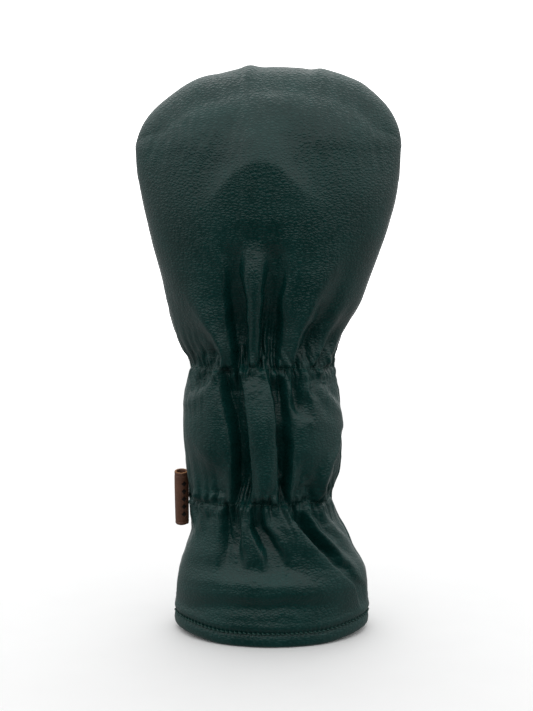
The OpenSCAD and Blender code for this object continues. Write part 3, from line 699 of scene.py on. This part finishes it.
def leather(name, deep, light, roughness, grain_mm, grain, specular=0.5, smoother_low=False):
    """Pebbled leather, from a deep colour in the creases to a light one on the pebbles. grain_mm is a
    pebble's size and grain how strongly it shows."""
    n = Surface(name)
    per_m = 1000 / grain_mm
    warp = n.add("ShaderNodeVectorMath", operation="MULTIPLY_ADD")
    n.put(warp.inputs[0], n.texture("Noise", Scale=260.0, Detail=2.0)["Color"])
    n.put(warp.inputs[1], (0.9, 0.9, 0.9))
    n.put(warp.inputs[2], n.add("ShaderNodeMapping", Vector=n.place,
                                Scale=(0.62 * per_m, 0.62 * per_m, per_m)).outputs["Vector"])
    warped = warp.outputs[0]
    cells = n.texture("Voronoi", warped, feature="DISTANCE_TO_EDGE", Scale=1.0)["Distance"]
    domes = n.texture("Voronoi", warped, feature="SMOOTH_F1", Scale=1.0, Smoothness=0.6)["Distance"]
    crease = n.math("MULTIPLY", cells, 3.2, clamp=True)
    fine = n.texture("Noise", Scale=2400.0, Detail=3.0)["Fac"]
    height = n.weighted((0.55, crease), (0.5, n.math("SUBTRACT", 1.0, domes)), (0.18, fine))
    slow = n.texture("Noise", Scale=42.0, Detail=4.0)["Fac"]
    rough = n.ranged(slow, 0.3, 0.7, roughness - 0.05, roughness + 0.06)
    if smoother_low:
        # the grain is stretched smoother, and duller, over the neck and skirt: levels in metres
        low_down = n.add("ShaderNodeSeparateXYZ", Vector=n.place).outputs["Z"]
        kept = n.ranged(low_down, 0.13, 0.23, 0.8, 1.0, "SMOOTHSTEP")
        height = n.math("MULTIPLY", height, kept)
        rough = n.math("ADD", rough, n.math("MULTIPLY", n.math("SUBTRACT", 1.0, kept), 0.25))
    tone = n.weighted((0.7, slow), (0.3, crease))
    n.drive(Base_Color=n.ramp(tone, [(0.3, deep), (0.75, light)]), Roughness=rough,
            Specular_IOR_Level=specular, Normal=n.bump(height, grain, 0.0003))
    return n.material


def cloth(name, deep, light, threads_mm, roughness, sheen):
    n = Surface(name)
    pile = n.texture("Noise", Scale=1000 / threads_mm, Detail=5.0, Roughness=0.7)["Fac"]
    tufts = n.texture("Voronoi", Scale=400 / threads_mm)["Distance"]
    height = n.math("ADD", pile, n.math("MULTIPLY", tufts, -0.6))
    n.drive(Base_Color=n.ramp(pile, [(0.35, deep), (0.7, light)]), Roughness=roughness,
            Sheen_Weight=sheen, Normal=n.bump(height, 0.8, 0.0004))
    return n.material


def twisted(name, deep, light):
    n = Surface(name)
    wave = n.texture("Wave", Scale=1500.0, Distortion=1.0, Detail=1.0)["Fac"]
    n.drive(Base_Color=n.ramp(wave, [(0.2, deep), (0.8, light)]), Roughness=0.6,
            Normal=n.bump(wave, 0.5, 0.0001))
    return n.material


def matt(name, colour, roughness):
    n = Surface(name)
    grain = n.texture("Noise", Scale=30.0)["Fac"]
    n.drive(Base_Color=n.ramp(grain, [(0.3, [c * 0.99 for c in colour]), (0.7, colour)]),
            Roughness=roughness, Specular_IOR_Level=0.2)
    return n.material


SHELL = leather("shell_leather", (0.0008, 0.031, 0.0272), (0.0018, 0.0505, 0.0450), 0.36, 1.6, 0.85, 0.42,
                smoother_low=True)
FLEECE = cloth("fleece", (0.006, 0.006, 0.007), (0.02, 0.02, 0.022), 0.8, 0.9, 0.3)
FOAM = cloth("foam", (0.30, 0.29, 0.26), (0.45, 0.44, 0.40), 1.2, 0.95, 0.0)
ELASTIC = cloth("elastic", (0.55, 0.54, 0.50), (0.75, 0.74, 0.70), 0.6, 0.8, 0.2)
THREAD = twisted("thread", (0.008, 0.048, 0.041), (0.022, 0.090, 0.076))
TAG = leather("tag_leather", (0.115, 0.048, 0.027), (0.19, 0.085, 0.050), 0.5, 0.9, 0.35)
TAG_PRINT = leather("tag_print", (0.010, 0.006, 0.005), (0.022, 0.013, 0.010), 0.5, 0.9, 0.35)
TAG_EDGE = leather("tag_cut_edge", (0.30, 0.12, 0.03), (0.48, 0.22, 0.07), 0.8, 0.4, 0.6)


# ---- the layers of both panels
panels = {BACK: Panel(BACK, 321, 1.15), FRONT: Panel(FRONT, 161, 0.7)}


def settle(o, slot, *nodes, body=ROOT):
    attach(o, body)
    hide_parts(*nodes)
    return o


HEM_BEAD = 1.4  # radius of the hem's lower edge
FOAM_IN = LEATHER_T + LAYER_GAP  # how deep the layers lie under the plain form
LINING_IN = FOAM_IN + FOAM_T + LAYER_GAP
LINING_FOOT_IN = 2 * (LEATHER_T + LAYER_GAP)
TAPE_IN = 4.3

for side, panel in panels.items():
    name = names[side]
    z = panel.row
    d = panel.relief
    thick = np.where(z <= HEM_TURN, 2 * LEATHER_T + LAYER_GAP, LEATHER_T)
    q = np.clip(1 - z / HEM_BEAD, 0, 1)
    rounding = HEM_BEAD * (1 - np.sqrt(1 - q**2))
    panel.outer = panel.at(d - rounding)
    inner_off = np.minimum(blurred(d, 3), d + 0.3) - thick + rounding * 0.9
    shell = closed_shell(f"{name}_shell", panel, panel.outer, panel.at(inner_off), 0, SHELL)
    settle(shell, "shell_leather", f"{name}_panel")

    low = lowest(inner_off, 3)
    foam_out = low - 0.25
    foam_full = np.clip((z - FOAM_Z) / FOAM_TAPER, 0, 1)
    foam_in = np.minimum(foam_out - 0.5, -(FOAM_IN + FOAM_EDGE) - (FOAM_T - FOAM_EDGE) * foam_full)
    padding = closed_shell(f"{name}_padding", panel, panel.at(foam_out), panel.at(foam_in),
                           panel.part(FOAM_Z), FOAM)
    settle(padding, "foam", f"{name}_foam")

    spread_in = np.clip((z - LINING_FOOT) / LINING_SPREAD, 0, 1)
    plain_in = LINING_FOOT_IN + (LINING_IN - LINING_FOOT_IN) * spread_in
    lining_out = np.minimum(-plain_in, low - 0.4)
    lining_out = np.where(z > FOAM_Z - 2, np.minimum(lining_out, foam_in - LAYER_GAP), lining_out)
    if side == BACK:
        panel.tape_off = np.minimum(np.minimum(blurred(low, 2), low) - 0.25, -TAPE_IN)
        for level in (UPPER_Z, LOWER_Z):
            beside = np.abs(z - level) < ELASTIC_W / 2 + 5
            lining_out = np.minimum(lining_out, np.where(beside, panel.tape_off - ELASTIC_T - 0.3, 0))
    pile = 0.25 * noise2(panel.s / 1.9, z / 1.9, 71 + side, 2)
    fleece = closed_shell(f"{name}_fleece", panel, panel.at(lining_out),
                          panel.at(lining_out - LINING_T + pile), panel.part(LINING_FOOT), FLEECE)
    settle(fleece, "fleece", f"{name}_lining")


# ---- threads, elastic and the tag
def tube(line, radius, sides):
    """Vertices, four-cornered faces and end faces of a tube along a line of points."""
    along = np.gradient(line, axis=0)
    along /= np.linalg.norm(along, axis=1, keepdims=True)
    up = np.array([0.0, 0.0, 1.0]) if abs(along[0, 2]) < 0.9 else np.array([0.0, 1.0, 0.0])
    u = up - along * (along @ up)[:, None]
    u /= np.linalg.norm(u, axis=1, keepdims=True)
    v = np.cross(along, u)
    a = 2 * np.pi * np.arange(sides)[:, None] / sides
    rings = np.cos(a) * u[:, None] + np.sin(a) * v[:, None]
    rings = line[:, None] + np.reshape(radius, (-1, 1, 1)) * rings
    ids = np.arange(len(line) * sides).reshape(-1, sides)
    ids = np.column_stack([ids, ids[:, 0]])
    start, end = np.full((2, sides), ids.max() + [[1], [2]])
    tris = [np.stack([start, ids[0, 1:], ids[0, :-1]], -1), np.stack([end, ids[-1, :-1], ids[-1, 1:]], -1)]
    verts = np.concatenate([rings.reshape(-1, 3), line[:1], line[-1:]])
    return verts, grid_faces(ids)[:, FLIPPED], np.concatenate(tris)


def joined(name, parts, material):
    """One object from several tubes."""
    verts, faces, at = [], [], 0
    for v, quads, ends in parts:
        verts.append(v)
        faces += [quads + at, ends + at]
        at += len(v)
    return new_object(name, np.concatenate(verts), faces, material)


def stitch_row(panel, level, pitch, long, thick, sink, seed, slant=0.1):
    """Short arched stitches along a level, each with its ends in the leather. slant is how far a
    stitch's ends lie above and below the level."""
    rng = np.random.RandomState(seed)
    round_panel = np.linspace(0, 180, 721)
    lengths = panel.sample(panel.s[..., None], np.full(721, level), round_panel)[:, 0]
    count = int((lengths[-1] - 2 * pitch) / pitch)
    parts = []
    for k in range(count + 1):
        start = pitch * (k + 0.75)
        t = np.linspace(0, 1, 9)
        angle = np.interp(start + long * t, lengths, round_panel)
        row = level + 0.12 * rng.uniform(-1, 1) + (slant + 0.1 * rng.uniform(-1, 1)) * (t - 0.5) * 2
        p = panel.sample(panel.outer, row, angle)
        n = panel.sample(panel.normal, row, angle)
        end = np.abs(2 * t - 1)
        rise = thick * (0.42 + 0.35 * np.sin(np.pi * t) - 0.9 * end**6) - sink
        parts.append(tube(p + n * rise[:, None], thick / 2 * (1 - 0.25 * end**4), 7))
    return parts


hem = []
for side in (BACK, FRONT):
    hem += stitch_row(panels[side], HEM_STITCH_Z, STITCH_PITCH, 1.95, 0.9, -0.05, 4 + side, slant=0.55)
settle(joined("hem_stitches", hem, THREAD), "thread", "hem_thread")
GATHERS = (("upper", UPPER_Z, 8), ("lower", LOWER_Z, 9))  # name, level, seed
for name, level, seed in GATHERS:
    row = stitch_row(panels[BACK], level, GATHER_PITCH, 1.9, 0.5, 0.05, seed)
    settle(joined(f"{name}_gather_stitches", row, THREAD), "thread", f"{name}_gather_thread")


def tape(name, level):
    """A woven elastic tape behind the back panel that follows the leather's pleats."""
    back = panels[BACK]
    angle = np.linspace(3, 177, 241)
    across = np.array([-1, -0.97, *np.linspace(-0.8, 0.8, 9), 0.97, 1]) * ELASTIC_W / 2
    angles, rows = np.meshgrid(angle, level + across, indexing="ij")
    place, normal = back.sample(back.base, rows, angles), back.sample(back.normal, rows, angles)
    depth = back.sample(back.tape_off[..., None], rows, angles)[..., 0]
    rib = 0.06  # height of the weave's ribs, each way
    weave = rib * np.cos(np.arange(len(across)) * np.pi)
    weave = weave + rib * np.cos(2 * np.pi * np.arange(len(angle)) / 3)[:, None]
    near = place + normal * (depth - 2 * rib + weave)[..., None]
    far = place + normal * (depth - ELASTIC_T + 2 * rib - weave)[..., None]
    return slab(name, near, far, ELASTIC)


for name, level, seed in GATHERS:
    settle(tape(f"{name}_elastic_tape", level), "elastic", f"{name}_elastic")


def seam_line(first, inset):
    """Points down the middle of the seam: up the right side, over the crown and down the left."""
    rows = np.linspace(first, HEAD_Z, 260)
    right, left = base(BACK, rows, 0 * rows, 0.0), base(BACK, rows, 0 * rows + 180, 0.0)
    right[:, 0] -= inset
    left[:, 0] += inset
    angles = np.linspace(0, 180, 242)[1:-1]
    over = base(BACK, 0 * angles + HEAD_Z + 90, angles, 0.0)
    out = over - np.array([0, 0, HEAD_Z])
    over = over - inset * out / np.linalg.norm(out, axis=1, keepdims=True)
    return np.concatenate([right, over, left[::-1]])


def seam_thread(name, first, inset, *nodes):
    """A seam's thread, from the level first, that weaves a little from panel to panel."""
    line = seam_line(first, inset)
    steps = np.concatenate([[0], np.cumsum(np.linalg.norm(np.diff(line, axis=0), axis=1))])
    at = np.arange(0, steps[-1], 0.75)
    line = np.stack([np.interp(at, steps, line[:, k]) for k in range(3)], axis=1)
    line[:, 1] += 0.1 * np.sin(2 * np.pi * at / 3.0)
    settle(joined(name, [tube(line, 0.3, 6)], THREAD), "thread", *nodes)


seam_thread("side_seam_stitches", 3, 1.9, "side_seam_thread")
seam_thread("lining_seam_stitches", 18, 7.2, "lining_seam_thread")


# ---- loop tag
TAG_Z, TAG_H, TAG_T = 83.0, 33.0, 1.4  # middle, height and thickness
TAG_R, TAG_OUT = 4.2, 9.5  # the fold's radius, and how far it stands out
TAG_TILT = 0.2  # how much lower the leaf on the gathered side hangs, for each mm of depth
DIAMOND_PITCH, DIAMOND_HALF, DIAMOND_IN = 4.8, 1.9, 3.4  # spacing, half height, distance from the root
SEAM_X = float(form(np.array(TAG_Z), SHIFT) - form(np.array(TAG_Z), WIDTH))
TAG_AXIS_X = SEAM_X - 1.8


def tag_strip():
    """The strip's middle line in plan, from one leaf's end round the fold to the other's, as (x, y)."""
    root, fold = TAG_AXIS_X + 0.6, SEAM_X - TAG_OUT + TAG_R
    r = TAG_R - TAG_T / 2
    a = np.linspace(math.radians(68), math.radians(292), 25)
    curve = np.stack([fold + r * np.cos(a), r * np.sin(a)], axis=1)
    t = np.linspace(0, 1, 9)[:-1, None]
    half = TAG_T / 2 + 0.06
    leaf = np.array([root, half]) * (1 - t) + curve[0] * t
    leaf[:, 1] += 0.25 * np.sin(np.pi * t[:, 0])
    other = leaf[::-1] * [1, -1]
    return np.concatenate([leaf, curve, other])


def make_tag():
    line = tag_strip()
    steps = np.concatenate([[0], np.cumsum(np.linalg.norm(np.diff(line, axis=0), axis=1))])
    length = steps[-1]
    s = np.linspace(0, length, 121)
    mid = np.stack([np.interp(s, steps, line[:, k]) for k in range(2)], axis=1)
    evenly = np.ones(7) / 7
    mid = np.stack([np.convolve(np.pad(line, 3, mode="edge"), evenly, "valid") for line in mid.T], axis=1)
    t = np.gradient(mid, axis=0)
    t /= np.linalg.norm(t, axis=1, keepdims=True)
    n = np.stack([t[:, 1], -t[:, 0]], axis=1)
    if n[len(s) // 2, 0] > 0:  # outwards is away from the cover at the fold
        n = -n
    w = np.concatenate([[-1, -0.995, -0.98], np.linspace(-0.95, 0.95, 115), [0.98, 0.995, 1]]) * TAG_H / 2
    S, W = np.meshgrid(s, w, indexing="ij")
    edge = np.minimum(TAG_H / 2 - np.abs(W), 3)
    soft = 0.22 * np.clip(1 - edge / 0.5, 0, 1) ** 2
    # a pressed border line and a column of dark printed diamonds on each leaf
    border = bell(np.abs(W) - (TAG_H / 2 - 2), 0.28)
    v = (W + DIAMOND_PITCH / 2) % DIAMOND_PITCH - DIAMOND_PITCH / 2
    u = np.minimum(np.abs(S - DIAMOND_IN), np.abs(S - (length - DIAMOND_IN)))
    diamond = (np.abs(v) + np.abs(u) * 1.1 < DIAMOND_HALF) & (np.abs(W) < TAG_H / 2 - 4)
    press = 0.22 * border + 0.12 * diamond
    sway = 0.25 * np.sin(W / TAG_H * 3.0 + 0.6) * np.sin(np.pi * S / length)

    def face(off):
        x = mid[:, None, 0] + n[:, None, 0] * (off + sway)
        y = mid[:, None, 1] + n[:, None, 1] * off + 0.3 * np.sin(W / TAG_H * 2.6)
        return np.stack([x, y, TAG_Z + W + TAG_TILT * y], -1)

    o = slab("tag_loop", face(TAG_T / 2 - soft - press), face(-TAG_T / 2 + soft), TAG)
    o.data.materials.append(TAG_EDGE)
    o.data.materials.append(TAG_PRINT)
    printed = (diamond[:-1, :-1] & diamond[1:, 1:]).ravel()
    index = np.ones(len(o.data.polygons), np.int32)
    index[:2 * len(printed)] = 0  # past the two broad sides come the cut edges
    index[:len(printed)][printed] = 2
    o.data.polygons.foreach_set("material_index", index)
    return o


tag = settle(make_tag(), "tag_leather", "loop_tag", body=TAG_BODY)


# ---- stage, light and camera
# A table top that widens away from the camera, a little wider than the camera sees: half width and y
FLOOR_NEAR, FLOOR_FAR = (165.0, -158.0), (470.0, 1300.0)
corners = np.array([(side * x, y, 0) for side, (x, y) in
                    ((-1, FLOOR_NEAR), (1, FLOOR_NEAR), (1, FLOOR_FAR), (-1, FLOOR_FAR))])
floor = new_object("floor", corners, [np.array([[0, 1, 2, 3]])], matt("floor_white", (0.93, 0.93, 0.93), 0.7))
# the cover takes its soft light from above, not off the table
floor.visible_diffuse = floor.visible_glossy = False
floor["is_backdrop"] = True

world = bpy.data.worlds.new("studio")
bpy.context.scene.world = world
sky = Nodes(world)
direction = sky.add("ShaderNodeSeparateXYZ", Vector=sky.coordinates["Generated"]).outputs


def sky_term(axis, start, end, low, high):
    """Brightness that runs from low to high as a direction's X, Y or Z passes from start to end."""
    return sky.ranged(direction[axis], start, end, low, high, "SMOOTHSTEP")


# A bright sky overhead, a white backdrop behind, grey walls at the sides and near dark round the camera
walls = sky.math("MULTIPLY", sky_term("Y", -0.75, -0.35, 0.02, 0.42), sky_term("Z", -0.3, 0.0, 0.8, 1.0))
backdrop = sky_term("Y", 0.88, 0.95, 0.0, 1.3)
overhead = sky_term("Z", 0.06, 0.33, 0.0, 1.05)
lighting = sky.math("MAXIMUM", sky.math("MAXIMUM", walls, backdrop), overhead)
# what the camera itself sees past the floor is plain white
BEHIND_WHITE = 2.0
seen = sky.add("ShaderNodeLightPath").outputs["Is Camera Ray"]
strength = sky.math("MAXIMUM", lighting, sky.math("MULTIPLY", seen, BEHIND_WHITE))
background = sky.tree.nodes["Background"].inputs
sky.put(background["Strength"], strength)
sky.put(background["Color"], (1, 1, 1, 1))


def softbox(name, place, aim, size, power):
    light = bpy.data.lights.new(name, "AREA")
    light.shape = "RECTANGLE"
    light.size, light.size_y = size
    light.energy = power
    o = bpy.data.objects.new(name, light)
    bpy.context.scene.collection.objects.link(o)
    o.location = Vector(place)
    o.rotation_mode = "QUATERNION"
    o.rotation_quaternion = (Vector(aim) - Vector(place)).to_track_quat("-Z", "Y")


softbox("top_box", (0.0, 0.7, 1.3), (0, 0, 0.1), (1.6, 0.8), 4)

scene = bpy.context.scene
scene.view_settings.view_transform = "Standard"
camera = bpy.data.cameras.new("camera")
camera.lens, camera.sensor_width = 73.8, 36.0
camera.dof.use_dof = False
cam = bpy.data.objects.new("camera", camera)
scene.collection.objects.link(cam)
cam.location = CAMERA_AT * MM
cam.rotation_euler = (math.radians(90 - CAMERA_DOWN), 0, 0)
camera.clip_end = 100
scene.camera = cam

low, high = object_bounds()
